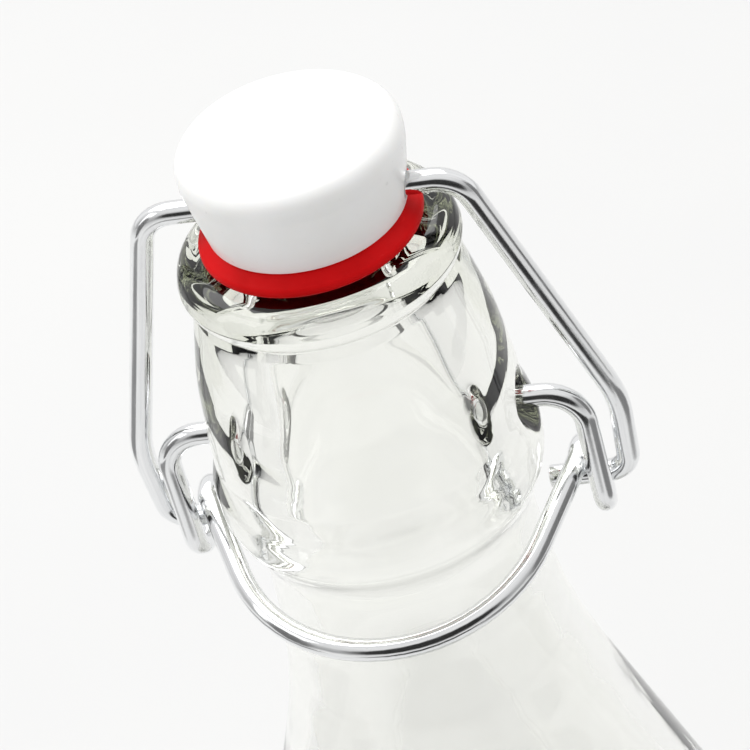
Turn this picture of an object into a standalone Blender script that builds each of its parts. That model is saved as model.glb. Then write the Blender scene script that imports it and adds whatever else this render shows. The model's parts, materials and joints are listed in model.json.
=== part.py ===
"""One-litre swing-top growler, closed, standing on its base.

Run with: blender --background --python part.py
Metres, +Z up, origin at the centre of the base. The lever's two pivots lie along X and its
arm reaches to the front, -Y.

Pieces: the blown glass bottle, the lever wire that turns in two pits in the neck's collar,
the bail wire whose hooks turn in the lever's eyes, the stopper that turns on the bail, and
the rubber washer on the stopper. Each moving piece hangs from an empty on its hinge axis.
"""

import math

import bpy
from mathutils import Vector

MM = 0.001

# --- Clearances -------------------------------------------------------------------------
RUNNING_GAP = 0.35 * MM      # a wire in the hole it turns in
SEAT_GAP = 0.4 * MM          # washer above the lip: the over-centre lever dips the stopper 0.27 mm
TOUCH_GAP = 0.3 * MM         # two pieces that touch on the real object
EDGE = 0.3 * MM              # rounding of a crisp moulded edge

# --- Glass bottle -----------------------------------------------------------------------
BOTTLE_HEIGHT = 287.0 * MM
BODY_RADIUS = 45.0 * MM
WALL = 3.4 * MM
BASE_THICKNESS = 5.0 * MM
HEEL_RADIUS = 7.0 * MM
FOOT_INNER_RADIUS = 31.0 * MM
PUNT_HEIGHT = 3.5 * MM
SHOULDER_END = 144.9 * MM    # below the lip top, where the cone would meet the body
SHOULDER_FILLET = 38.0 * MM
SHOULDER_FLARE = 88.0 * MM   # hollow curve from the neck into the cone
SHOULDER_START = 60.1 * MM
NECK_RADIUS = 16.2 * MM      # below the collar
BORE_RADIUS = 12.1 * MM      # inside the neck, narrowing to the mouth
MOUTH_RADIUS = 9.0 * MM
LIP_RADIUS = 16.1 * MM
LIP_HEIGHT = 4.7 * MM
UNDERCUT_RADIUS = 14.7 * MM  # the groove under the lip
COLLAR_TOP = 27.0 * MM       # below the lip top
BARREL = (                   # radius, distance below the lip top and rounding, down to the collar
    (15.3 * MM, 6.4 * MM, 1.5 * MM),
    (17.35 * MM, 15.5 * MM, 25 * MM),
    (18.2 * MM, 23.5 * MM, 20 * MM),
    (18.3 * MM, COLLAR_TOP, 1.2 * MM),
)
COLLAR_RADIUS = 19.25 * MM
COLLAR_SLOPE = 3.6 * MM      # height of its slanting top edge
COLLAR_BOTTOM = 37.5 * MM    # below the lip top
PIT_MOUTH_RADIUS = 4.4 * MM  # the flared dimple round each pivot

# --- Wires ------------------------------------------------------------------------------
WIRE_RADIUS = 1.35 * MM
PIVOT_Z = BOTTLE_HEIGHT - 27.0 * MM
PIN_END_X = 15.8 * MM        # the lever's cut ends, inside the pits
LEG_X = 24.6 * MM            # the lever's legs, outside the collar
EYE_RADIUS = 3.4 * MM        # centreline
EYE_DROP = 15.2 * MM         # pivot to eye
EYE_SIDESTEP = 2.3 * MM      # each eye's wire passes inside its own leg
EYE_EXIT = 105.5             # degrees round the eye where the arm leaves
ARM_REACH = 23.3 * MM        # from the eye to the front of the arm, along the arm
ARM_CORNER_X = 13.0 * MM
ARM_FILLET = 19.0 * MM
BORE_RISE = 4.7 * MM         # bail's top, above the lip
BAIL_TOP_X = 17.5 * MM
BAIL_KNEE_X = 28.4 * MM
BAIL_KNEE_RISE = 11.7 * MM   # above the eyes
BAIL_HOOK_X = 27.7 * MM
HOOK_END_X = 18.2 * MM        # the right hook's cut end
LEFT_HOOK_END_X = 20.4 * MM   # the left hook is cut shorter

# --- Stopper and washer -----------------------------------------------------------------
STOPPER_FOOT_RADIUS = 11.3 * MM
STOPPER_TOP_RADIUS = 12.8 * MM
STOPPER_RISE = 2.8 * MM      # underside of its skirt, above the lip
STOPPER_TOP = 13.8 * MM      # its top, above the lip
STOPPER_RIM_FILLET = 2.2 * MM
DISH_RADIUS = 7.6 * MM
DISH_DEPTH = 0.5 * MM
GROOVE_RADIUS = 5.6 * MM     # the washer sits round this
FLANGE_RADIUS = 6.5 * MM     # keeps the washer on
FLANGE_HEIGHT = 2.0 * MM
WASHER_RADIUS = 12.7 * MM
WASHER_EDGE = 1.8 * MM       # thickness at the rim

# --- Resolution -------------------------------------------------------------------------
LATHE_STEPS = 60
PIT_STEPS = 32
BORE_STEPS = 24
EYE_STEPS = 26
WIRE_BEVEL_RESOLUTION = 4
LATHE_FILLET_STEP = math.radians(18)
WIRE_FILLET_STEP = math.radians(11)

# --- Derived ----------------------------------------------------------------------------
EYE_Y = EYE_RADIUS           # so that each leg runs straight down into its eye
EYE_Z = PIVOT_Z - EYE_DROP
BORE_Z = BOTTLE_HEIGHT + BORE_RISE
WASHER_BOTTOM_Z = BOTTLE_HEIGHT + SEAT_GAP


# --- Scene and materials ----------------------------------------------------------------

def clear_scene():
    for obj in list(bpy.data.objects):
        bpy.data.objects.remove(obj, do_unlink=True)
    for collection in list(bpy.data.collections):
        bpy.data.collections.remove(collection)


def new_collection(name):
    collection = bpy.data.collections.new(name)
    bpy.context.scene.collection.children.link(collection)
    return collection


def material(name, colour, roughness, metallic=0.0, transmission=0.0):
    made = bpy.data.materials.new(name)
    made.use_nodes = True
    made.diffuse_color = (*colour, 1.0)
    shader = made.node_tree.nodes["Principled BSDF"]
    shader.inputs["Base Color"].default_value = (*colour, 1.0)
    shader.inputs["Roughness"].default_value = roughness
    shader.inputs["Metallic"].default_value = metallic
    shader.inputs["Transmission Weight"].default_value = transmission
    return made


def hinge_empty(name, location, parent, collection):
    """An empty on a hinge axis, at a place given in world coordinates."""
    empty = bpy.data.objects.new(name, None)
    empty.empty_display_size = 5 * MM
    collection.objects.link(empty)
    empty.parent = parent
    base = world_place(parent) if parent else Vector()
    empty.location = Vector(location) - base
    return empty


def world_place(obj):
    place = Vector()
    while obj:
        place += obj.location
        obj = obj.parent
    return place


# --- Outlines ---------------------------------------------------------------------------

def rounded_path(corners, fillet_step):
    """Points along straight lines between corners, each corner rounded by its own radius.

    corners holds (point, radius) pairs. The points may have two or three coordinates.
    """
    points = [Vector(corners[0][0]).to_3d()]
    for (before, _), (corner, radius), (after, _) in zip(corners, corners[1:], corners[2:]):
        corner = Vector(corner).to_3d()
        to_before = (Vector(before).to_3d() - corner).normalized()
        to_after = (Vector(after).to_3d() - corner).normalized()
        turn = math.pi - to_before.angle(to_after)
        if radius == 0 or turn < 1e-4:
            points.append(corner)
            continue
        bisector = (to_before + to_after).normalized()
        centre = corner + bisector * radius / math.cos(turn / 2)
        start = corner + to_before * radius * math.tan(turn / 2) - centre
        end = corner + to_after * radius * math.tan(turn / 2) - centre
        steps = math.ceil(turn / fillet_step)
        for i in range(steps + 1):
            share = i / steps
            blend = start * math.sin((1 - share) * turn) + end * math.sin(share * turn)
            points.append(centre + blend / math.sin(turn))
    points.append(Vector(corners[-1][0]).to_3d())
    return points


def lathe(name, corners, mat, collection, parent=None, steps=LATHE_STEPS):
    """A solid turned about Z from (radius, height) corners that run down its outer side."""
    profile = [Vector((point.x, 0, point.y)) for point in rounded_path(corners, LATHE_FILLET_STEP)]
    base = world_place(parent) if parent else Vector()
    mesh = bpy.data.meshes.new(name)
    edges = [(i, i + 1) for i in range(len(profile) - 1)]
    mesh.from_pydata([point - Vector((0, 0, base.z)) for point in profile], edges, [])
    obj = bpy.data.objects.new(name, mesh)
    collection.objects.link(obj)
    obj.parent = parent
    obj.location = Vector((-base.x, -base.y, 0))
    mesh.materials.append(mat)
    screw = obj.modifiers.new("turn", "SCREW")
    screw.axis = "Z"
    screw.angle = math.tau
    screw.steps = steps
    screw.render_steps = steps
    screw.use_merge_vertices = True
    screw.merge_threshold = 0.00001
    screw.use_smooth_shade = True
    return obj


def closed_ring(corners):
    """The same corners, closed: the first is repeated at the end."""
    return corners + [corners[0]]


def bottle_height(below_lip):
    return BOTTLE_HEIGHT - below_lip


def bottle_corners():
    """(radius, height), radius of rounding: up the inside, over the lip and down the outside."""
    up = bottle_height
    inner_body = BODY_RADIUS - WALL
    floor_z = PUNT_HEIGHT + BASE_THICKNESS
    inside = [
        ((0, floor_z), 0),
        ((FOOT_INNER_RADIUS, floor_z - 1.0 * MM), 20 * MM),
        ((inner_body, BASE_THICKNESS + 2.0 * MM), HEEL_RADIUS),
        ((inner_body, up(SHOULDER_END + 1.5 * MM)), SHOULDER_FILLET - WALL),
        ((BORE_RADIUS, up(SHOULDER_START - 1.0 * MM)), SHOULDER_FLARE),
        ((BORE_RADIUS - 0.5 * MM, up(32 * MM)), 30 * MM),
        ((MOUTH_RADIUS, up(9 * MM)), 12 * MM),
        ((MOUTH_RADIUS, up(0)), 1.2 * MM),
    ]
    neck = [
        ((LIP_RADIUS, up(0)), 2.8 * MM),
        ((LIP_RADIUS, up(LIP_HEIGHT)), 2.45 * MM),
        ((UNDERCUT_RADIUS, up(LIP_HEIGHT + 0.5 * MM)), EDGE),
        *[((radius, up(below)), fillet) for radius, below, fillet in BARREL],
        ((COLLAR_RADIUS, up(COLLAR_TOP + COLLAR_SLOPE)), 3.5 * MM),
        ((COLLAR_RADIUS, up(COLLAR_BOTTOM)), 2.7 * MM),
        ((NECK_RADIUS, up(COLLAR_BOTTOM + 0.5 * MM)), 1.2 * MM),
    ]
    body = [
        ((NECK_RADIUS, up(SHOULDER_START)), SHOULDER_FLARE),
        ((BODY_RADIUS, up(SHOULDER_END)), SHOULDER_FILLET),
        ((BODY_RADIUS, 0), HEEL_RADIUS),
        ((FOOT_INNER_RADIUS, 0), 2.5 * MM),
        ((FOOT_INNER_RADIUS - 4 * MM, PUNT_HEIGHT * 0.6), 6 * MM),
        ((0, PUNT_HEIGHT), 0),
    ]
    return inside + neck + body


def pit_corners():
    """The dimple that a pivot end sits in: a flared mouth and a short round socket."""
    socket = WIRE_RADIUS + RUNNING_GAP
    outside = COLLAR_RADIUS + 4 * MM
    deep = PIN_END_X - TOUCH_GAP
    return [
        ((0, outside), 0),
        ((PIT_MOUTH_RADIUS, outside), 0),
        ((PIT_MOUTH_RADIUS, COLLAR_RADIUS - 0.2 * MM), 1.0 * MM),
        ((socket, deep + 1.2 * MM), 1.0 * MM),
        ((socket, deep), 0.5 * MM),
        ((0, deep), 0),
    ]


def stopper_corners():
    """(radius, height) down the outside: dished top, tapered side, washer groove, flange."""
    top = BOTTLE_HEIGHT + STOPPER_TOP
    skirt = BOTTLE_HEIGHT + STOPPER_RISE
    groove_end = WASHER_BOTTOM_Z - TOUCH_GAP
    return [
        ((0, top - DISH_DEPTH), 0),
        ((DISH_RADIUS - 0.8 * MM, top - DISH_DEPTH), 1.5 * MM),
        ((DISH_RADIUS, top), 1.5 * MM),
        ((STOPPER_TOP_RADIUS, top - 0.4 * MM), STOPPER_RIM_FILLET),
        ((STOPPER_TOP_RADIUS - 0.1 * MM, top - 3.6 * MM), 3.0 * MM),
        ((STOPPER_FOOT_RADIUS, skirt), EDGE),
        ((GROOVE_RADIUS, skirt), EDGE),
        ((GROOVE_RADIUS, groove_end), 0.2 * MM),
        ((FLANGE_RADIUS, groove_end), 0.5 * MM),
        ((FLANGE_RADIUS - 0.2 * MM, groove_end - FLANGE_HEIGHT), 1.2 * MM),
        ((0, groove_end - FLANGE_HEIGHT), 0),
    ]


def washer_corners():
    """(radius, height), closed: flat underneath, rim rounded, thicker under the stopper."""
    hole = GROOVE_RADIUS + TOUCH_GAP
    under_skirt = BOTTLE_HEIGHT + STOPPER_RISE - TOUCH_GAP
    rim_top = WASHER_BOTTOM_Z + WASHER_EDGE
    return closed_ring([
        ((hole, WASHER_BOTTOM_Z), 0),
        ((hole, under_skirt), 0),
        ((STOPPER_FOOT_RADIUS - 0.4 * MM, under_skirt), 0.5 * MM),
        ((WASHER_RADIUS, rim_top - 0.35 * MM), 0.7 * MM),
        ((WASHER_RADIUS, WASHER_BOTTOM_Z), 0.8 * MM),
    ])


# --- Wires ------------------------------------------------------------------------------

def mirrored(half):
    """A path that ends on the plane X = 0, carried on through its mirror image."""
    other = [Vector((-point.x, point.y, point.z)) for point in reversed(half)]
    return half + other[1:]


def wire(name, path, mat, collection, parent):
    base = world_place(parent)
    curve = bpy.data.curves.new(name, "CURVE")
    curve.dimensions = "3D"
    curve.bevel_depth = WIRE_RADIUS
    curve.bevel_resolution = WIRE_BEVEL_RESOLUTION
    curve.use_fill_caps = True
    spline = curve.splines.new("POLY")
    spline.points.add(len(path) - 1)
    for point, place in zip(spline.points, path):
        point.co = (*(place - base), 1)
    spline.use_smooth = True
    curve.materials.append(mat)
    obj = bpy.data.objects.new(name, curve)
    collection.objects.link(obj)
    obj.parent = parent
    return obj


def eye_point(turned, total):
    """A point of the right-hand eye, after turning this many degrees from the leg."""
    share = turned / total
    step_in = EYE_SIDESTEP * share * share * (3 - 2 * share)
    angle = math.radians(180 + turned)
    y = EYE_Y + EYE_RADIUS * math.cos(angle)
    z = EYE_Z + EYE_RADIUS * math.sin(angle)
    return Vector((LEG_X - step_in, y, z))


def lever_path():
    """From the right pivot out, down the leg, round the eye and forward along the arm."""
    leg = rounded_path([
        ((PIN_END_X, 0, PIVOT_Z), 0),
        ((LEG_X, 0, PIVOT_Z), 4.6 * MM),
        ((LEG_X, 0, EYE_Z), 0),
    ], WIRE_FILLET_STEP)
    total = 180 + EYE_EXIT
    eye = [eye_point(total * i / EYE_STEPS, total) for i in range(1, EYE_STEPS + 1)]
    along = Vector((0, -math.sin(math.radians(EYE_EXIT)), math.cos(math.radians(EYE_EXIT))))
    front = eye[-1] + along * ARM_REACH
    arm = rounded_path([
        (eye[-1], 0),
        ((ARM_CORNER_X, front.y, front.z), ARM_FILLET),
        ((0, front.y, front.z), 0),
    ], WIRE_FILLET_STEP)
    return mirrored(leg + eye + arm[1:])


def bail_y(z):
    """The bail lies in the plane through the stopper's bore and the two eyes."""
    return EYE_Y * (BORE_Z - z) / (BORE_Z - EYE_Z)


def bail_path():
    """From the right hook's cut end, out through the eye, up the leg and across the top."""
    knee_z = EYE_Z + BAIL_KNEE_RISE
    half = rounded_path([
        ((HOOK_END_X, EYE_Y, EYE_Z), 0),
        ((BAIL_HOOK_X, EYE_Y, EYE_Z), 2.7 * MM),
        ((BAIL_KNEE_X, bail_y(knee_z), knee_z), 16 * MM),
        ((BAIL_TOP_X, 0, BORE_Z), 4.2 * MM),
        ((0, 0, BORE_Z), 0),
    ], WIRE_FILLET_STEP)
    path = mirrored(half)
    path[-1].x = -LEFT_HOOK_END_X
    return path


# --- Cutting ----------------------------------------------------------------------------

def cut(obj, cutter):
    modifier = obj.modifiers.new("cut_" + cutter.name, "BOOLEAN")
    modifier.operation = "DIFFERENCE"
    modifier.solver = "EXACT"
    modifier.object = cutter


def as_cutter(obj):
    obj.hide_render = True
    obj.display_type = "WIRE"
    return obj


def bore_cutter(mat, cutters):
    """A rod along X, for the bail's hole through the stopper."""
    radius = WIRE_RADIUS + RUNNING_GAP
    half = STOPPER_TOP_RADIUS + 3 * MM
    corners = [((0, half), 0), ((radius, half), 0), ((radius, -half), 0), ((0, -half), 0)]
    rod = lathe("stopper_bore", corners, mat, cutters, steps=BORE_STEPS)
    rod.rotation_euler.y = math.pi / 2
    rod.location = (0, 0, BORE_Z)
    return as_cutter(rod)


def pit_cutter(side, mat, cutters):
    name = "pit_right" if side > 0 else "pit_left"
    pit = lathe(name, pit_corners(), mat, cutters, steps=PIT_STEPS)
    pit.rotation_euler.y = side * math.pi / 2
    pit.location = (0, 0, PIVOT_Z)
    return as_cutter(pit)


# --- Assembly ---------------------------------------------------------------------------

def build():
    clear_scene()
    parts = new_collection("growler")
    cutters = new_collection("cutters")
    cutters.hide_render = True

    glass = material("clear_glass", (0.90, 0.95, 0.93), 0.02, transmission=1.0)
    plastic = material("white_plastic", (0.92, 0.92, 0.91), 0.25)
    rubber = material("red_rubber", (0.72, 0.03, 0.04), 0.55)
    steel = material("plated_wire", (0.78, 0.79, 0.80), 0.18, metallic=1.0)

    bottle = lathe("glass_bottle", bottle_corners(), glass, parts)
    for side in (1, -1):
        cut(bottle, pit_cutter(side, glass, cutters))

    lever_axis = hinge_empty("lever_pivot_axis", (0, 0, PIVOT_Z), None, parts)
    bail_axis = hinge_empty("bail_hook_axis", (0, EYE_Y, EYE_Z), lever_axis, parts)
    stopper_axis = hinge_empty("stopper_bore_axis", (0, 0, BORE_Z), bail_axis, parts)

    wire("lever_wire", lever_path(), steel, parts, lever_axis)
    wire("bail_wire", bail_path(), steel, parts, bail_axis)
    stopper = lathe("stopper", stopper_corners(), plastic, parts, stopper_axis)
    cut(stopper, bore_cutter(plastic, cutters))
    lathe("washer", washer_corners(), rubber, parts, stopper_axis)


build()
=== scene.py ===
"""Looks of the swing-top growler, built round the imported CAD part.

Everything is in metres in the part's own frame: +Z up, origin at the centre of the base, the
lever's pivots along X and its arm to the front, -Y. Each CAD node is replaced by a finer piece
of nearly the same shape, which rides on the same body.
"""

import json
import math

import bmesh
import bpy
import numpy as np
from mathutils import Matrix, Vector, noise


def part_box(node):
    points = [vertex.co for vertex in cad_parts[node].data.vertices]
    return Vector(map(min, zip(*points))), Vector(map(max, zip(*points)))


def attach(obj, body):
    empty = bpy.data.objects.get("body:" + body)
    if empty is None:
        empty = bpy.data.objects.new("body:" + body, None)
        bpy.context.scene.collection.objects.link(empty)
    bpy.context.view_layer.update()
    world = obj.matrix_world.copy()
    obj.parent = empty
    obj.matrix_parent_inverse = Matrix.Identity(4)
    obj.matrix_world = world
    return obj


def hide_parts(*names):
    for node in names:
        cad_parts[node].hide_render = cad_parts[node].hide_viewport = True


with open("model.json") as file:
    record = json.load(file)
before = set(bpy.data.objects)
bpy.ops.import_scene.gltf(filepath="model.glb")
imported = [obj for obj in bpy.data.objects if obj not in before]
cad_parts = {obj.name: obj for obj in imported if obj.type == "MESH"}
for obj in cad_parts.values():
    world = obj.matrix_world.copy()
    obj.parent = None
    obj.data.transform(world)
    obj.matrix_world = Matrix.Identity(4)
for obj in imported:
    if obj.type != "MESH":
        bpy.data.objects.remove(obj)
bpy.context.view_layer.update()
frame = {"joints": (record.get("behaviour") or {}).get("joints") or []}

MM = 0.001

# --- From the frame ---------------------------------------------------------------------
BOTTLE_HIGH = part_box("glass_bottle")[1]
BOTTLE_HEIGHT = BOTTLE_HIGH.z
BODY_RADIUS = BOTTLE_HIGH.x
STOPPER_TOP_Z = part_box("stopper")[1].z
JOINT_PLACE = {joint["name"]: Vector(joint["pos_m"]) for joint in frame["joints"]}
PIVOT_Z = JOINT_PLACE["lever_pivot"].z
EYE = JOINT_PLACE["bail_hook"]
BORE_Z = JOINT_PLACE["stopper_bore"].z

# --- Glass ------------------------------------------------------------------------------
# A start, an end, a top or a bottom is a distance below the top of the lip.
WALL = 3.4 * MM
BASE_THICKNESS = 5.0 * MM
HEEL_RADIUS = 7.0 * MM
FOOT_INNER_RADIUS = 31.0 * MM
PUNT_HEIGHT = 3.5 * MM
SHOULDER_START = 60.1 * MM
SHOULDER_FLARE = 88.0 * MM   # hollow curve from the neck into the cone
SHOULDER_END = 144.9 * MM    # where the cone would meet the body
SHOULDER_FILLET = 38.0 * MM
NECK_RADIUS = 16.2 * MM
BORE_RADIUS = 12.1 * MM      # inside the neck
MOUTH_RADIUS = 9.0 * MM
LIP_RADIUS = 16.1 * MM
LIP_HEIGHT = 4.7 * MM
UNDERCUT_RADIUS = 14.7 * MM  # the groove under the lip
COLLAR_TOP = 27.0 * MM
BARREL = (                   # radius, distance below the lip top and rounding, down to the collar
    (15.3 * MM, 6.4 * MM, 1.5 * MM),
    (17.35 * MM, 15.5 * MM, 25 * MM),
    (18.2 * MM, 23.5 * MM, 20 * MM),
    (18.3 * MM, COLLAR_TOP, 3.0 * MM),
)
COLLAR_RADIUS = 19.25 * MM
COLLAR_SLOPE = 3.6 * MM      # height of its slanting top edge
COLLAR_BOTTOM = 37.5 * MM
COLLAR_EASE_IN = 2.2 * MM    # it starts to draw in this far above there
COLLAR_EASE_OUT = 3.2 * MM   # and meets the neck this far below
LIP_CROWN_INSET = 3.5 * MM   # top of the lip, in from its outer radius
THROAT = 9.0 * MM            # below the lip, where the bore has narrowed to the mouth
SEAM_HEIGHT = 0.10 * MM      # mould parting line round the lip
SEAM_WIDTH = 0.22 * MM
SEAM_BELOW = 0.62            # share of the lip's height
PIT_FLOOR_X = 15.5 * MM      # socket that a pivot end turns in
PIT_STEP_X = 16.7 * MM       # where the socket opens into the dimple
PIT_SOCKET_RADIUS = 1.75 * MM
PIT_SLOPE_WIDTH = 0.6 * MM   # from the socket's wall to the dimple
PIT_MOUTH_RADIUS = 4.6 * MM
PIT_FLARE = 0.85             # below 1, the dimple is steepest at the socket
PIT_POLISH = 0.30 * MM       # rounding of the dimple's rim
INNER_WAVE = 0.12 * MM       # unevenness of the blown inner wall
OUTER_WAVE = 0.014 * MM      # and of the moulded outside

# --- Wires ------------------------------------------------------------------------------
WIRE_RADIUS = 1.35 * MM
WIRE_SIDES = 28
CUT_CHAMFER = 0.3 * MM
CUT_PROFILE = ((0.45, 0.0), (0.80, 0.04), (0.94, 0.35), (1.0, 1.0))  # shares of radius and chamfer
EYE_POINTS = 56
PIN_END_X = 15.8 * MM        # the lever's cut ends, inside the pits
LEG_X = 24.6 * MM            # the lever's legs
EYE_RADIUS = 3.4 * MM        # centreline
EYE_SIDESTEP = 2.3 * MM      # each eye's wire passes inside its own leg
EYE_EXIT = 105.5             # degrees round the eye where the arm leaves
ARM_REACH = 23.3 * MM        # from the eye to the front of the arm
ARM_CORNER_X = 13.0 * MM
ARM_FILLET = 19.0 * MM
BAIL_TOP_X = 17.2 * MM       # the right-hand corner
LEFT_BAIL_TOP_X = 18.3 * MM
BAIL_KNEE_X = 28.4 * MM
BAIL_KNEE_RISE = 11.7 * MM   # above the eyes
BAIL_HOOK_X = 27.7 * MM
HOOK_END_X = 18.2 * MM       # the right hook's cut end
LEFT_HOOK_END_X = 20.4 * MM  # the left hook is cut shorter

# --- Stopper and washer -----------------------------------------------------------------
STOPPER_FOOT_RADIUS = 11.3 * MM
STOPPER_TOP_RADIUS = 12.8 * MM
STOPPER_FOOT_Z = BOTTLE_HEIGHT + 2.8 * MM
DISH_RADIUS = 7.6 * MM
DISH_DEPTH = 0.5 * MM
GROOVE_RADIUS = 5.6 * MM     # the washer sits round this
FLANGE_RADIUS = 6.5 * MM     # keeps the washer on
FLANGE_TOP_Z = BOTTLE_HEIGHT + 0.1 * MM
FLANGE_HEIGHT = 2.0 * MM
HOLE_RADIUS = 1.7 * MM       # of the cross-bore
HOLE_FLARE = 0.5 * MM        # wider by this at its two mouths
HOLE_STRAIGHT = 11.2 * MM    # straight this far out from the middle
HOLE_FLARED = 11.9 * MM      # and fully flared from here
CUTTER_REACH = 20 * MM
WASHER_RADIUS = 12.7 * MM
WASHER_EDGE = 1.75 * MM      # thickness at the rim
SQUEEZE_GAP = 0.05 * MM      # washer above the lip

# --- Resolution -------------------------------------------------------------------------
FILLET_STEP = math.radians(6)
TURN_STEP = 2.25             # degrees round a lathed piece
PIT_TURN_STEP = 0.6          # degrees, near the pits
PIT_HALF_WIDTH = 17.0        # degrees on each side of a pit that get the finer step
FLOOR_POINTS = 6             # first points of the inner outline, on the middle of the floor
WELD_DISTANCE = 0.002 * MM

# --- Studio -----------------------------------------------------------------------------
FLOOR_REACH = 6.0
FLOOR_SIDES = 96
FLOOR_Z = -0.1 * MM
LOW_SKY = 0.44               # glow near the horizon
HIGH_SKY = 0.84              # glow overhead
BACKDROP = 0.92              # glow behind the bottle, and wherever the camera sees past the floor
STUDIO_CENTRE = Vector((0, 0, BOTTLE_HEIGHT - 20 * MM))
LIGHTS = (                   # name, place, size, watts
    ("overhead_softbox", (-0.25, 0.45, 1.35), (1.5, 1.1), 10.9),
    ("side_fill", (-1.2, -0.5, 0.9), (0.7, 1.0), 2.2),
)
CLOTHS = {"black": 0.03, "grey": 0.20, "pale": 0.23}    # share of the light sent back
FLAGS = (                    # name, place, size, cloth, whether it is seen through the glass
    ("flag_left", (-0.66, -0.36, 0.30), (0.42, 0.9), "grey", True),
    ("flag_right", (0.75, 0.0, 0.30), (0.50, 0.9), "grey", True),
    ("flag_front", (0.16, -0.80, 0.50), (1.7, 0.95), "black", False),
)
TABLE_CARDS = (              # name, place, size, cloth; they lie flat, just above the floor
    ("table_card_left", (-0.44, -0.12, 0.005), (0.30, 0.60), "pale"),
    ("table_card_right", (0.38, -0.12, 0.004), (0.42, 0.56), "grey"),
    ("table_card_front", (0.10, -0.42, 0.006), (0.70, 0.32), "black"),
)

# --- Camera -----------------------------------------------------------------------------
CAMERA_AZIMUTH = math.radians(15.38)
CAMERA_ELEVATION = math.radians(37.85)
CAMERA_ROLL = math.radians(-16.19)
CAMERA_DISTANCE = 400 * MM
CAMERA_SIDE = 7.148 * MM     # along the image's own right and up
CAMERA_RISE = -17.108 * MM
CAMERA_LENS = 175.12
AIM_Z = BOTTLE_HEIGHT + 1.5 * MM


# --- Outlines ---------------------------------------------------------------------------

def rounded_path(corners, fillet_step=FILLET_STEP):
    """Points along straight lines between corners, each corner rounded by its own radius."""
    points = [Vector(corners[0][0]).to_3d()]
    for (before, _), (corner, radius), (after, _) in zip(corners, corners[1:], corners[2:]):
        corner = Vector(corner).to_3d()
        to_before = (Vector(before).to_3d() - corner).normalized()
        to_after = (Vector(after).to_3d() - corner).normalized()
        turn = math.pi - to_before.angle(to_after)
        if radius == 0 or turn < 1e-4:
            points.append(corner)
            continue
        bisector = (to_before + to_after).normalized()
        centre = corner + bisector * radius / math.cos(turn / 2)
        start = corner + to_before * radius * math.tan(turn / 2) - centre
        end = corner + to_after * radius * math.tan(turn / 2) - centre
        steps = math.ceil(turn / fillet_step)
        for i in range(steps + 1):
            share = i / steps
            blend = start * math.sin((1 - share) * turn) + end * math.sin(share * turn)
            points.append(centre + blend / math.sin(turn))
    points.append(Vector(corners[-1][0]).to_3d())
    return points


def filled_in(points, longest):
    """The same path with points added, so that no step is longer than longest(point)."""
    filled = [points[0]]
    for start, end in zip(points, points[1:]):
        steps = max(1, math.ceil((end - start).length / longest((start + end) / 2)))
        filled += [start.lerp(end, i / steps) for i in range(1, steps + 1)]
    return filled


def bottle_outline():
    """(inside, outside) paths of (radius, height): up the inside to the lip, then down to the foot."""
    def up(below):
        return BOTTLE_HEIGHT - below

    inner_body = BODY_RADIUS - WALL
    floor_z = PUNT_HEIGHT + BASE_THICKNESS
    crown = ((LIP_RADIUS - LIP_CROWN_INSET, up(0)), 0)
    inside = [
        ((0, floor_z), 0),
        ((FOOT_INNER_RADIUS, floor_z - 1.0 * MM), 20 * MM),
        ((inner_body, BASE_THICKNESS + 2.0 * MM), HEEL_RADIUS),
        ((inner_body, up(SHOULDER_END + 1.5 * MM)), SHOULDER_FILLET - WALL),
        ((BORE_RADIUS, up(SHOULDER_START - 1.0 * MM)), SHOULDER_FLARE),
        ((BORE_RADIUS - 0.5 * MM, up(32 * MM)), 30 * MM),
        ((MOUTH_RADIUS, up(THROAT)), 12 * MM),
        ((MOUTH_RADIUS, up(0)), 1.2 * MM),
        crown,
    ]
    outside = [
        crown,
        ((LIP_RADIUS, up(0)), 2.8 * MM),
        ((LIP_RADIUS, up(LIP_HEIGHT)), 2.45 * MM),
        ((UNDERCUT_RADIUS, up(LIP_HEIGHT + 0.5 * MM)), 0.3 * MM),
        *[((radius, up(below)), fillet) for radius, below, fillet in BARREL],
        ((COLLAR_RADIUS, up(COLLAR_TOP + COLLAR_SLOPE)), 7 * MM),
        ((COLLAR_RADIUS, up(COLLAR_BOTTOM - COLLAR_EASE_IN)), 7 * MM),
        ((NECK_RADIUS, up(COLLAR_BOTTOM + COLLAR_EASE_OUT)), 12 * MM),
        ((NECK_RADIUS, up(SHOULDER_START)), SHOULDER_FLARE),
        ((BODY_RADIUS, up(SHOULDER_END)), SHOULDER_FILLET),
        ((BODY_RADIUS, 0), HEEL_RADIUS),
        ((FOOT_INNER_RADIUS, 0), 2.5 * MM),
        ((FOOT_INNER_RADIUS - 4 * MM, PUNT_HEIGHT * 0.6), 6 * MM),
        ((0, PUNT_HEIGHT), 0),
    ]

    def longest(point):
        if abs(point.y - PIVOT_Z) < PIT_MOUTH_RADIUS + 1 * MM and point.x > NECK_RADIUS:
            return 0.25 * MM
        return 0.9 * MM if point.y > up(60 * MM) else 3.0 * MM

    return filled_in(rounded_path(inside), longest), filled_in(rounded_path(outside), longest)


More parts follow.
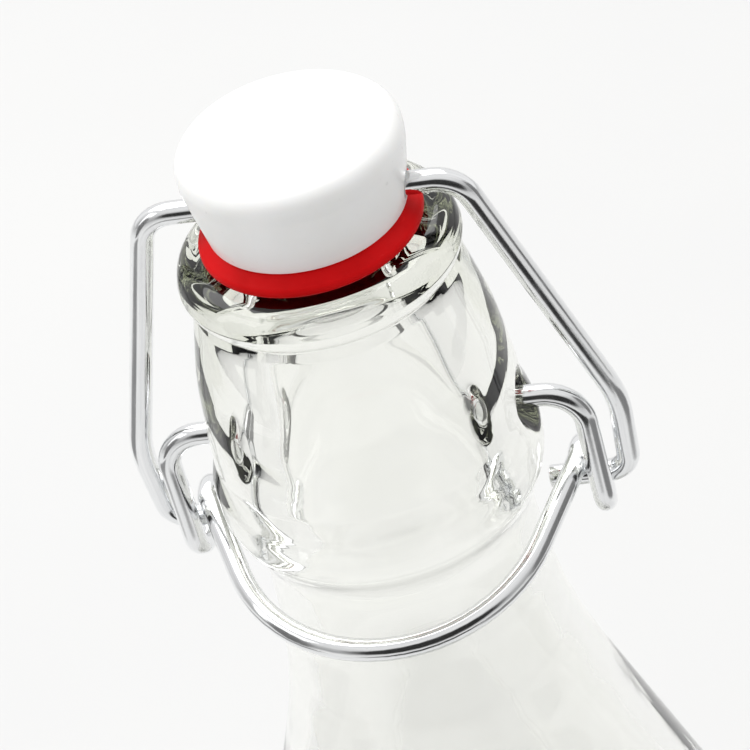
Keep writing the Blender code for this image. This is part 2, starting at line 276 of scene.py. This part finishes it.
def stopper_outline():
    """(radius, height) down the outside: dished top, tapered side, washer groove, flange."""
    top = STOPPER_TOP_Z
    return rounded_path([
        ((0, top - DISH_DEPTH), 0),
        ((DISH_RADIUS - 0.8 * MM, top - DISH_DEPTH), 1.5 * MM),
        ((DISH_RADIUS, top), 1.5 * MM),
        ((STOPPER_TOP_RADIUS, top - 0.4 * MM), 2.2 * MM),
        ((STOPPER_TOP_RADIUS - 0.1 * MM, top - 3.6 * MM), 3.0 * MM),
        ((STOPPER_FOOT_RADIUS, STOPPER_FOOT_Z), 0.3 * MM),
        ((GROOVE_RADIUS, STOPPER_FOOT_Z), 0.3 * MM),
        ((GROOVE_RADIUS, FLANGE_TOP_Z), 0.2 * MM),
        ((FLANGE_RADIUS, FLANGE_TOP_Z), 0.5 * MM),
        ((FLANGE_RADIUS - 0.2 * MM, FLANGE_TOP_Z - FLANGE_HEIGHT), 1.2 * MM),
        ((0, FLANGE_TOP_Z - FLANGE_HEIGHT), 0),
    ])


def washer_outline():
    """(radius, height), closed: flat underneath, rim rounded, thicker under the stopper."""
    hole = GROOVE_RADIUS + 0.15 * MM
    bottom = BOTTLE_HEIGHT + SQUEEZE_GAP
    under_skirt = STOPPER_FOOT_Z - 0.05 * MM
    rim_top = bottom + WASHER_EDGE
    middle = ((hole + 2 * MM, bottom), 0)
    return rounded_path([
        middle,
        ((hole, bottom), 0.3 * MM),
        ((hole, under_skirt), 0.3 * MM),
        ((STOPPER_FOOT_RADIUS - 0.4 * MM, under_skirt), 0.5 * MM),
        ((WASHER_RADIUS, rim_top - 0.25 * MM), 0.7 * MM),
        ((WASHER_RADIUS, bottom + 0.35 * MM), 0.65 * MM),
        middle,
    ])


# --- Meshes -----------------------------------------------------------------------------

def turn_angles(fine_centres=()):
    """Angles round a lathed piece, closer together near the given centres."""
    angles, angle = [], 0.0
    while angle < 360 - 1e-6:
        angles.append(math.radians(angle))
        near = any(abs((angle - centre + 180) % 360 - 180) < PIT_HALF_WIDTH for centre in fine_centres)
        angle += PIT_TURN_STEP if near else TURN_STEP
    return np.array(angles)


def lathed(name, outline, angles, closed=False):
    """A mesh turned about Z. An open outline starts and ends on the axis."""
    radii = np.array([point.x for point in outline])
    heights = np.array([point.y for point in outline])
    if closed:
        radii, heights = radii[:-1], heights[:-1]
    rings, turns = len(radii), len(angles)
    places = np.empty((rings, turns, 3))
    places[:, :, 0] = radii[:, None] * np.cos(angles)
    places[:, :, 1] = radii[:, None] * np.sin(angles)
    places[:, :, 2] = heights[:, None]
    vertices = places.reshape(-1, 3)
    faces = []
    last = rings if closed else rings - 1
    for ring in range(last):
        above = (ring + 1) % rings
        for turn in range(turns):
            beside = (turn + 1) % turns
            faces.append((ring * turns + turn, above * turns + turn,
                          above * turns + beside, ring * turns + beside))
    mesh = bpy.data.meshes.new(name)
    mesh.from_pydata(vertices.tolist(), [], faces)
    obj = new_object(name, mesh)
    if not closed:
        facing_out(mesh, weld=True)
    return obj


def new_object(name, mesh):
    obj = bpy.data.objects.new(name, mesh)
    bpy.context.scene.collection.objects.link(obj)
    return obj


def facing_out(mesh, weld=False):
    """Turns the faces outwards, first welding, if asked, each ring of points that lies on the axis."""
    work = bmesh.new()
    work.from_mesh(mesh)
    if weld:
        bmesh.ops.remove_doubles(work, verts=work.verts, dist=WELD_DISTANCE)
    bmesh.ops.recalc_face_normals(work, faces=work.faces)
    work.to_mesh(mesh)
    work.free()


def smooth(obj, sharp_degrees=None):
    obj.data.shade_smooth()
    if sharp_degrees is not None:
        obj.data.set_sharp_from_angle(angle=math.radians(sharp_degrees))


def transport_frames(points):
    """A pair of unit vectors across the path at each point, turned as little as possible."""
    tangents = []
    for i in range(len(points)):
        before, after = points[max(i - 1, 0)], points[min(i + 1, len(points) - 1)]
        tangents.append((after - before).normalized())
    across = tangents[0].orthogonal().normalized()
    frames = []
    for before, tangent in zip([tangents[0]] + tangents, tangents):
        across = before.rotation_difference(tangent) @ across
        across = (across - tangent * across.dot(tangent)).normalized()
        frames.append((across, tangent.cross(across)))
    return tangents, frames


def tube(name, points):
    """A wire along a path, with filed ends and UVs of (metres along, share of the way round)."""
    tangents, frames = transport_frames(points)
    steps = [(after - before).length for before, after in zip(points, points[1:])]
    along = np.cumsum([0.0] + steps).tolist()
    middle = [(point, *axes, WIRE_RADIUS, distance)
              for point, axes, distance in zip(points, frames, along)]
    start, end = [], []
    for share, inward in CUT_PROFILE:
        inset, radius = CUT_CHAMFER * inward, WIRE_RADIUS * share
        start.append((points[0] + tangents[0] * inset, *frames[0], radius, inset))
        end.insert(0, (points[-1] - tangents[-1] * inset, *frames[-1], radius, along[-1] - inset))
    rings = start + middle[1:-1] + end
    vertices, faces, uvs = [], [], []
    for centre, across, up, radius, _ in rings:
        for side in range(WIRE_SIDES):
            angle = math.tau * side / WIRE_SIDES
            vertices.append(centre + across * radius * math.cos(angle) + up * radius * math.sin(angle))
    for ring in range(len(rings) - 1):
        low, high = rings[ring][4], rings[ring + 1][4]
        for side in range(WIRE_SIDES):
            beside = (side + 1) % WIRE_SIDES
            faces.append((ring * WIRE_SIDES + side, ring * WIRE_SIDES + beside,
                          (ring + 1) * WIRE_SIDES + beside, (ring + 1) * WIRE_SIDES + side))
            v, w = side / WIRE_SIDES, (side + 1) / WIRE_SIDES
            uvs += [(low, v), (low, w), (high, w), (high, v)]
    top = (len(rings) - 1) * WIRE_SIDES
    faces.append(tuple(range(WIRE_SIDES))[::-1])
    faces.append(tuple(top + side for side in range(WIRE_SIDES)))
    uvs += [(0.0, side / WIRE_SIDES) for side in range(WIRE_SIDES)] * 2
    mesh = bpy.data.meshes.new(name)
    mesh.from_pydata(vertices, [], faces)
    layer = mesh.uv_layers.new(name="length_and_turn")
    layer.data.foreach_set("uv", np.array(uvs, np.float32).ravel())
    facing_out(mesh)
    obj = new_object(name, mesh)
    smooth(obj, 40)
    return obj


# --- Glass bottle -----------------------------------------------------------------------

def pit_wall_x(distance):
    """How far out the glass reaches, this far from a pivot's axis."""
    past_socket = distance - PIT_SOCKET_RADIUS
    ease = np.clip(past_socket / PIT_SLOPE_WIDTH, 0, 1)
    floor = PIT_FLOOR_X + (PIT_STEP_X - PIT_FLOOR_X) * ease * ease * (3 - 2 * ease)
    flare_width = PIT_MOUTH_RADIUS - PIT_SOCKET_RADIUS - PIT_SLOPE_WIDTH
    flare = np.clip((past_socket - PIT_SLOPE_WIDTH) / flare_width, 0, None)
    return floor + (COLLAR_RADIUS + 0.2 * MM - PIT_STEP_X) * flare ** PIT_FLARE


def wave(place, size, seed):
    """Smooth unevenness from -1 to 1, with lumps about this size."""
    return noise.fractal(place / size + Vector((seed, seed * 2.3, -seed)), 0.8, 2.1, 2)


def share_of(value):
    return min(1.0, max(0.0, value))


def inner_push(place):
    """How far the blown inner wall stands out here: nothing at the mouth, most in the barrel."""
    below_lip = BOTTLE_HEIGHT - place.z
    calm = share_of((below_lip - 8 * MM) / (14 * MM))
    below_neck = share_of((below_lip - 50 * MM) / (50 * MM))
    lumps = wave(place, 16 * MM, 3.1) + 0.12 * wave(place, 6 * MM, 7.7)
    return INNER_WAVE * calm * (1 - 0.6 * below_neck) * lumps


def outer_push(place, radius):
    """How far the moulded outside stands out here. At full body radius it only goes inwards."""
    calm = min(1.0, place.z / (12 * MM))
    inset = min(1.0, (BODY_RADIUS - radius) / (1 * MM))
    seam_z = BOTTLE_HEIGHT - SEAM_BELOW * LIP_HEIGHT
    seam = SEAM_HEIGHT * math.exp(-((place.z - seam_z) / SEAM_WIDTH) ** 2)
    return OUTER_WAVE * calm * (wave(place, 9 * MM, 5.3) - (1 - inset)) + seam


def cut_pits(co, outer):
    """Moves the outer points round each pivot in along X, onto the pit's wall."""
    distance = np.hypot(co[:, 1], co[:, 2] - PIVOT_Z)
    pitted = outer & (distance < PIT_MOUTH_RADIUS + 1 * MM)
    reach = np.abs(co[:, 0])
    limit = pit_wall_x(distance)
    polished = -PIT_POLISH * np.logaddexp(-reach / PIT_POLISH, -limit / PIT_POLISH)
    co[pitted, 0] = (np.sign(co[:, 0]) * polished)[pitted]


def make_bottle():
    inside, outside = bottle_outline()
    bottle = lathed("glass_bottle_visual", inside + outside[1:], turn_angles((0, 180)))
    mesh = bottle.data
    co = np.empty(len(mesh.vertices) * 3)
    mesh.vertices.foreach_get("co", co)
    co = co.reshape(-1, 3)
    bore = np.array(inside)
    wall = bore[FLOOR_POINTS:]
    radius = np.hypot(co[:, 0], co[:, 1])
    bore_radius = np.interp(co[:, 2], wall[:, 1], wall[:, 0])
    is_inside = (radius < bore_radius + 0.3 * MM) & (co[:, 2] > BASE_THICKNESS)
    for i in np.flatnonzero(radius >= 1 * MM):
        place = Vector(co[i])
        push = inner_push(place) if is_inside[i] else outer_push(place, radius[i])
        co[i, :2] *= 1 + push / radius[i]
    cut_pits(co, ~is_inside)
    mesh.vertices.foreach_set("co", co.ravel())
    mesh.update()
    smooth(bottle)
    return bottle


# --- Wires ------------------------------------------------------------------------------

def mirrored(half):
    """A path that ends on the plane X = 0, carried on through its mirror image."""
    other = [Vector((-point.x, point.y, point.z)) for point in reversed(half)]
    return half + other[1:]


def wire_step(_):
    return 1.0 * MM


def eye_point(turned, total):
    """A point of the right-hand eye, after turning this many degrees from the leg."""
    share = turned / total
    step_in = EYE_SIDESTEP * share * share * (3 - 2 * share)
    angle = math.radians(180 + turned)
    y = EYE.y + EYE_RADIUS * math.cos(angle)
    z = EYE.z + EYE_RADIUS * math.sin(angle)
    return Vector((LEG_X - step_in, y, z))


def lever_path():
    """From the right pivot out, down the leg, round the eye and forward along the arm."""
    leg = rounded_path([
        ((PIN_END_X, 0, PIVOT_Z), 0),
        ((LEG_X, 0, PIVOT_Z), 4.6 * MM),
        ((LEG_X, 0, EYE.z), 0),
    ])
    total = 180 + EYE_EXIT
    eye = [eye_point(total * i / EYE_POINTS, total) for i in range(1, EYE_POINTS + 1)]
    along = Vector((0, -math.sin(math.radians(EYE_EXIT)), math.cos(math.radians(EYE_EXIT))))
    front = eye[-1] + along * ARM_REACH
    arm = rounded_path([
        (eye[-1], 0),
        ((ARM_CORNER_X, front.y, front.z), ARM_FILLET),
        ((0, front.y, front.z), 0),
    ])
    return filled_in(mirrored(leg + eye + arm[1:]), wire_step)


def bail_half(side, top_x, hook_end_x):
    """From one hook's cut end, out through the eye, up the leg and across to the middle."""
    knee_z = EYE.z + BAIL_KNEE_RISE
    knee_y = EYE.y * (BORE_Z - knee_z) / (BORE_Z - EYE.z)
    return rounded_path([
        ((side * hook_end_x, EYE.y, EYE.z), 0),
        ((side * BAIL_HOOK_X, EYE.y, EYE.z), 2.7 * MM),
        ((side * BAIL_KNEE_X, knee_y, knee_z), 16 * MM),
        ((side * top_x, 0, BORE_Z), 4.2 * MM),
        ((0, 0, BORE_Z), 0),
    ])


def bail_path():
    right = bail_half(1, BAIL_TOP_X, HOOK_END_X)
    left = bail_half(-1, LEFT_BAIL_TOP_X, LEFT_HOOK_END_X)
    return filled_in(right + left[::-1][1:], wire_step)


# --- Stopper and washer -----------------------------------------------------------------

def make_stopper():
    stopper = lathed("stopper_visual", stopper_outline(), turn_angles())
    half = [
        ((0, CUTTER_REACH), 0),
        ((HOLE_RADIUS + HOLE_FLARE, CUTTER_REACH), 0),
        ((HOLE_RADIUS + HOLE_FLARE, HOLE_FLARED), 0),
        ((HOLE_RADIUS, HOLE_STRAIGHT), 0.6 * MM),
    ]
    other_half = [((radius, -along), fillet) for (radius, along), fillet in reversed(half)]
    cutter = lathed("bore_cutter", rounded_path(half + other_half), turn_angles())
    cutter.data.transform(Matrix.Translation((0, 0, BORE_Z)) @ Matrix.Rotation(math.pi / 2, 4, "Y"))
    facing_out(cutter.data)
    modifier = stopper.modifiers.new("bore", "BOOLEAN")
    modifier.operation = "DIFFERENCE"
    modifier.solver = "EXACT"
    modifier.object = cutter
    applied(stopper)
    bpy.data.objects.remove(cutter)
    smooth(stopper, 32)
    return stopper


def applied(obj):
    """Replaces the object's mesh by what its modifiers make."""
    graph = bpy.context.evaluated_depsgraph_get()
    made = bpy.data.meshes.new_from_object(obj.evaluated_get(graph))
    obj.modifiers.clear()
    obj.data = made


def make_washer():
    washer = lathed("washer_visual", washer_outline(), turn_angles(), closed=True)
    facing_out(washer.data)
    smooth(washer, 50)
    return washer


# --- Materials --------------------------------------------------------------------------

class Nodes:
    """A short way to build a material's nodes."""

    def __init__(self, name):
        self.material = bpy.data.materials.new(name)
        self.material.use_nodes = True
        self.tree = self.material.node_tree
        self.shader = self.tree.nodes["Principled BSDF"]

    def add(self, kind, inputs=None, **settings):
        node = self.tree.nodes.new(kind)
        for key, value in settings.items():
            setattr(node, key, value)
        for key, value in (inputs or {}).items():
            self.feed(node.inputs[key], value)
        return node

    def feed(self, socket, value):
        if isinstance(value, bpy.types.NodeSocket):
            self.tree.links.new(value, socket)
        else:
            socket.default_value = value

    def set(self, **values):
        for key, value in values.items():
            self.feed(self.shader.inputs[key.replace("_", " ").title().replace("Ior", "IOR")], value)

    def noise(self, vector, scale, detail=3.0, roughness=0.5):
        return self.add("ShaderNodeTexNoise", {
            "Vector": vector, "Scale": scale, "Detail": detail, "Roughness": roughness,
        }).outputs["Fac"]

    def stretched(self, vector, scale):
        return self.add("ShaderNodeMapping", {"Vector": vector, "Scale": scale}).outputs["Vector"]

    def between(self, factor, low, high, start=0.3, end=0.7):
        return self.add("ShaderNodeMapRange", {
            "Value": factor, "From Min": start, "From Max": end, "To Min": low, "To Max": high,
        }).outputs["Result"]

    def colours(self, factor, first, second, start=0.3, end=0.7):
        mix = self.add("ShaderNodeMix", data_type="RGBA")
        self.feed(mix.inputs["Factor"], self.between(factor, 0.0, 1.0, start, end))
        colour_inputs = [socket for socket in mix.inputs if socket.type == "RGBA"]
        self.feed(colour_inputs[0], first)
        self.feed(colour_inputs[1], second)
        return next(socket for socket in mix.outputs if socket.type == "RGBA")

    def bump(self, height, distance, strength=1.0, normal=None):
        inputs = {"Height": height, "Distance": distance, "Strength": strength}
        if normal is not None:
            inputs["Normal"] = normal
        return self.add("ShaderNodeBump", inputs).outputs["Normal"]

    def place(self):
        return self.add("ShaderNodeTexCoord").outputs["Object"]

    def turned(self):
        return self.add("ShaderNodeTexCoord").outputs["UV"]


def clear_glass():
    made = Nodes("clear_glass_visual")
    place = made.place()
    ripple = made.noise(place, 110, 2.0)
    smudge = made.noise(place, 60, 4.0, 0.6)
    normal = made.bump(ripple, 0.03 * MM, 0.6)
    made.set(
        base_color=made.colours(smudge, (0.982, 0.985, 0.965, 1), (1.0, 1.0, 0.992, 1)),
        roughness=made.between(smudge, 0.0, 0.03, 0.45, 0.8),
        ior=1.52, transmission_weight=1.0, normal=normal,
    )
    absorb = made.add("ShaderNodeVolumeAbsorption")
    absorb.inputs["Color"].default_value = (0.82, 0.84, 0.73, 1)
    absorb.inputs["Density"].default_value = 12.0
    output = made.tree.nodes["Material Output"]
    made.tree.links.new(absorb.outputs["Volume"], output.inputs["Volume"])
    return made.material


def plated_wire():
    made = Nodes("plated_wire_visual")
    turned = made.turned()
    place = made.place()
    lines = made.noise(made.stretched(turned, (90, 26, 1)), 1.0, 5.0, 0.65)
    hairs = made.noise(made.stretched(turned, (160, 90, 1)), 1.0, 2.0, 0.6)
    patches = made.noise(place, 260, 4.0, 0.6)
    specks = made.noise(place, 1900, 3.0, 0.7)
    tone = made.colours(lines, (0.78, 0.79, 0.80, 1), (0.94, 0.945, 0.95, 1))
    speckled = made.colours(specks, tone, (0.30, 0.30, 0.31, 1), 0.70, 0.78)
    drawn = made.between(lines, 0.04, 0.11)
    handled = made.between(patches, -0.02, 0.08)
    wear = made.add("ShaderNodeMath", {0: drawn, 1: handled}, operation="ADD").outputs["Value"]
    normal = made.bump(lines, 0.015 * MM, 0.4)
    normal = made.bump(hairs, 0.005 * MM, 0.4, normal)
    normal = made.bump(patches, 0.03 * MM, 0.25, normal)
    made.set(base_color=speckled, roughness=wear, metallic=1.0, normal=normal)
    return made.material


def white_plastic():
    made = Nodes("white_plastic_visual")
    place = made.place()
    cloud = made.noise(place, 140, 3.0)
    grain = made.noise(place, 2600, 3.0, 0.6)
    dust = made.noise(place, 900, 4.0, 0.7)
    tone = made.colours(cloud, (0.90, 0.90, 0.885, 1), (0.94, 0.94, 0.93, 1))
    speckled = made.colours(dust, tone, (0.895, 0.89, 0.875, 1), 0.78, 0.94)
    normal = made.bump(cloud, 0.05 * MM, 0.4)
    normal = made.bump(grain, 0.006 * MM, 0.5, normal)
    made.set(
        base_color=speckled, roughness=made.between(dust, 0.27, 0.34),
        subsurface_weight=0.25, normal=normal,
    )
    made.shader.inputs["Subsurface Radius"].default_value = (1.0, 0.9, 0.8)
    made.shader.inputs["Subsurface Scale"].default_value = 1.2 * MM
    return made.material


def red_rubber():
    made = Nodes("red_rubber_visual")
    place = made.place()
    cloud = made.noise(place, 220, 3.0)
    grain = made.noise(place, 3200, 4.0, 0.7)
    scuff = made.noise(made.stretched(place, (1, 1, 6)), 420, 5.0, 0.7)
    tone = made.colours(cloud, (0.60, 0.001, 0.002, 1), (0.72, 0.003, 0.005, 1))
    scuffed = made.colours(scuff, tone, (0.84, 0.03, 0.03, 1), 0.66, 0.86)
    normal = made.bump(cloud, 0.06 * MM, 0.4)
    normal = made.bump(grain, 0.012 * MM, 0.6, normal)
    made.set(base_color=scuffed, roughness=made.between(scuff, 0.42, 0.62), normal=normal)
    made.shader.inputs["Specular IOR Level"].default_value = 0.10
    return made.material


def pale_floor():
    made = Nodes("pale_floor")
    place = made.place()
    cloud = made.noise(place, 6, 3.0)
    made.set(
        base_color=made.colours(cloud, (0.722, 0.722, 0.72, 1), (0.742, 0.742, 0.735, 1)),
        roughness=0.9, normal=made.bump(made.noise(place, 900, 3.0), 0.02 * MM, 0.3),
    )
    return made.material


# --- Studio -----------------------------------------------------------------------------

def aimed(obj, place, direction):
    """Puts the object at this place, with its own Z axis along this direction."""
    obj.location = place
    obj.rotation_mode = "QUATERNION"
    obj.rotation_quaternion = direction.to_track_quat("Z", "Y")


def panel(name, place, size, direction, material, through_glass):
    """A flat stage panel, facing a direction, that reflections see and, if asked, refractions."""
    x, y = size[0] / 2, size[1] / 2
    mesh = bpy.data.meshes.new(name)
    mesh.from_pydata([(-x, -y, 0), (x, -y, 0), (x, y, 0), (-x, y, 0)], [], [(0, 1, 2, 3)])
    mesh.materials.append(material)
    obj = new_object(name, mesh)
    aimed(obj, place, direction)
    obj.visible_camera = False
    obj.visible_diffuse = False
    obj.visible_shadow = False
    obj.visible_transmission = through_glass


def flag_cloth(name, shade):
    """Matt cloth that thins out towards the panel's edges, so that its reflection has no hard edge."""
    made = Nodes(name)
    across = made.add("ShaderNodeTexCoord").outputs["Generated"]
    centred = made.add("ShaderNodeMapping", {
        "Vector": across, "Location": (-1, -1, 0), "Scale": (2, 2, 0),
    }).outputs["Vector"]
    thick = made.add("ShaderNodeTexGradient", {"Vector": centred}, gradient_type="SPHERICAL")
    alpha = made.between(thick.outputs["Fac"], 0.0, 1.0, 0.0, 0.35)
    made.set(base_color=(shade, shade, shade, 1), roughness=0.9, alpha=alpha)
    made.shader.inputs["Specular IOR Level"].default_value = 0.0
    return made.material


def area_light(name, place, size, power):
    """A soft box whose light goes towards the middle of the studio."""
    data = bpy.data.lights.new(name, "AREA")
    data.shape = "RECTANGLE"
    data.size, data.size_y = size
    data.energy = power
    obj = bpy.data.objects.new(name, data)
    bpy.context.scene.collection.objects.link(obj)
    aimed(obj, place, Vector(place) - STUDIO_CENTRE)


def stage_floor():
    mesh = bpy.data.meshes.new("floor")
    angles = [math.tau * i / FLOOR_SIDES for i in range(FLOOR_SIDES)]
    ring = [(FLOOR_REACH * math.cos(angle), FLOOR_REACH * math.sin(angle), FLOOR_Z) for angle in angles]
    mesh.from_pydata(ring, [], [tuple(range(FLOOR_SIDES))])
    mesh.materials.append(pale_floor())
    new_object("floor", mesh)


def smooth_range(tree, value, low, high, to_low=0.0, to_high=1.0):
    ranged = tree.nodes.new("ShaderNodeMapRange")
    ranged.interpolation_type = "SMOOTHSTEP"
    tree.links.new(value, ranged.inputs["Value"])
    for key, number in (("From Min", low), ("From Max", high), ("To Min", to_low), ("To Max", to_high)):
        ranged.inputs[key].default_value = number
    return ranged.outputs["Result"]


def mixed(tree, factor, first, second):
    """The first value where the factor is 0, and the second, a plain number, where it is 1."""
    mix = tree.nodes.new("ShaderNodeMix")
    mix.data_type = "FLOAT"
    tree.links.new(factor, mix.inputs["Factor"])
    float_a, float_b = mix.inputs[2], mix.inputs[3]
    tree.links.new(first, float_a)
    float_b.default_value = second
    return mix.outputs[0]


def sky():
    """Soft light that brightens upwards, with an even, bright backdrop behind the bottle."""
    world = bpy.data.worlds.new("soft_studio")
    bpy.context.scene.world = world
    world.use_nodes = True
    tree = world.node_tree
    place = tree.nodes.new("ShaderNodeTexCoord")
    apart = tree.nodes.new("ShaderNodeSeparateXYZ")
    tree.links.new(place.outputs["Generated"], apart.inputs["Vector"])
    rise = smooth_range(tree, apart.outputs["Z"], 0.10, 0.85, LOW_SKY, HIGH_SKY)
    behind = smooth_range(tree, apart.outputs["Y"], -0.15, 0.45)
    around = mixed(tree, behind, rise, BACKDROP)
    seen = tree.nodes.new("ShaderNodeLightPath").outputs["Is Camera Ray"]
    background = tree.nodes["Background"]
    background.inputs["Color"].default_value = (1.0, 1.0, 1.0, 1)
    tree.links.new(mixed(tree, seen, around, BACKDROP), background.inputs["Strength"])


def studio():
    stage_floor()
    sky()
    for name, place, size, power in LIGHTS:
        area_light(name, place, size, power)
    cloths = {name: flag_cloth(name + "_flag", shade) for name, shade in CLOTHS.items()}
    for name, place, size, cloth, through_glass in FLAGS:
        panel(name, place, size, STUDIO_CENTRE - Vector(place), cloths[cloth], through_glass)
    for name, place, size, cloth in TABLE_CARDS:
        panel(name, place, size, Vector((0, 0, 1)), cloths[cloth], False)


def camera():
    level_back = Vector((math.sin(CAMERA_AZIMUTH), -math.cos(CAMERA_AZIMUTH), 0))
    back = level_back * math.cos(CAMERA_ELEVATION) + Vector((0, 0, math.sin(CAMERA_ELEVATION)))
    level_right = Vector((math.cos(CAMERA_AZIMUTH), math.sin(CAMERA_AZIMUTH), 0))
    level_up = back.cross(level_right)
    right = level_right * math.cos(CAMERA_ROLL) + level_up * math.sin(CAMERA_ROLL)
    up = level_up * math.cos(CAMERA_ROLL) - level_right * math.sin(CAMERA_ROLL)
    data = bpy.data.cameras.new("camera")
    data.lens = CAMERA_LENS
    data.sensor_width = 36.0
    data.clip_start = 0.02
    data.clip_end = 20.0
    obj = bpy.data.objects.new("camera", data)
    bpy.context.scene.collection.objects.link(obj)
    place = Vector((0, 0, AIM_Z)) + back * CAMERA_DISTANCE + right * CAMERA_SIDE + up * CAMERA_RISE
    turn = Matrix((right, up, back)).transposed()
    obj.matrix_world = Matrix.Translation(place) @ turn.to_4x4()
    bpy.context.scene.camera = obj


def deep_glass():
    """Lets light reflect often enough inside the thick glass that no part of it turns black."""
    cycles = bpy.context.scene.cycles
    cycles.max_bounces = 24
    cycles.transmission_bounces = 18
    cycles.glossy_bounces = 14


# --- Assembly ---------------------------------------------------------------------------

def stand_for(piece, body, node, material):
    """The piece rides on the body in place of the CAD node, in this material."""
    piece.data.materials.clear()
    piece.data.materials.append(material)
    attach(piece, body)
    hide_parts(node)


steel = plated_wire()
stand_for(make_bottle(), "bottle", "glass_bottle", clear_glass())
stand_for(tube("lever_wire_visual", lever_path()), "lever", "lever_wire", steel)
stand_for(tube("bail_wire_visual", bail_path()), "bail", "bail_wire", steel)
stand_for(make_stopper(), "stopper", "stopper", white_plastic())
stand_for(make_washer(), "stopper", "washer", red_rubber())

studio()
camera()
bpy.context.scene.view_settings.view_transform = "Standard"
deep_glass()
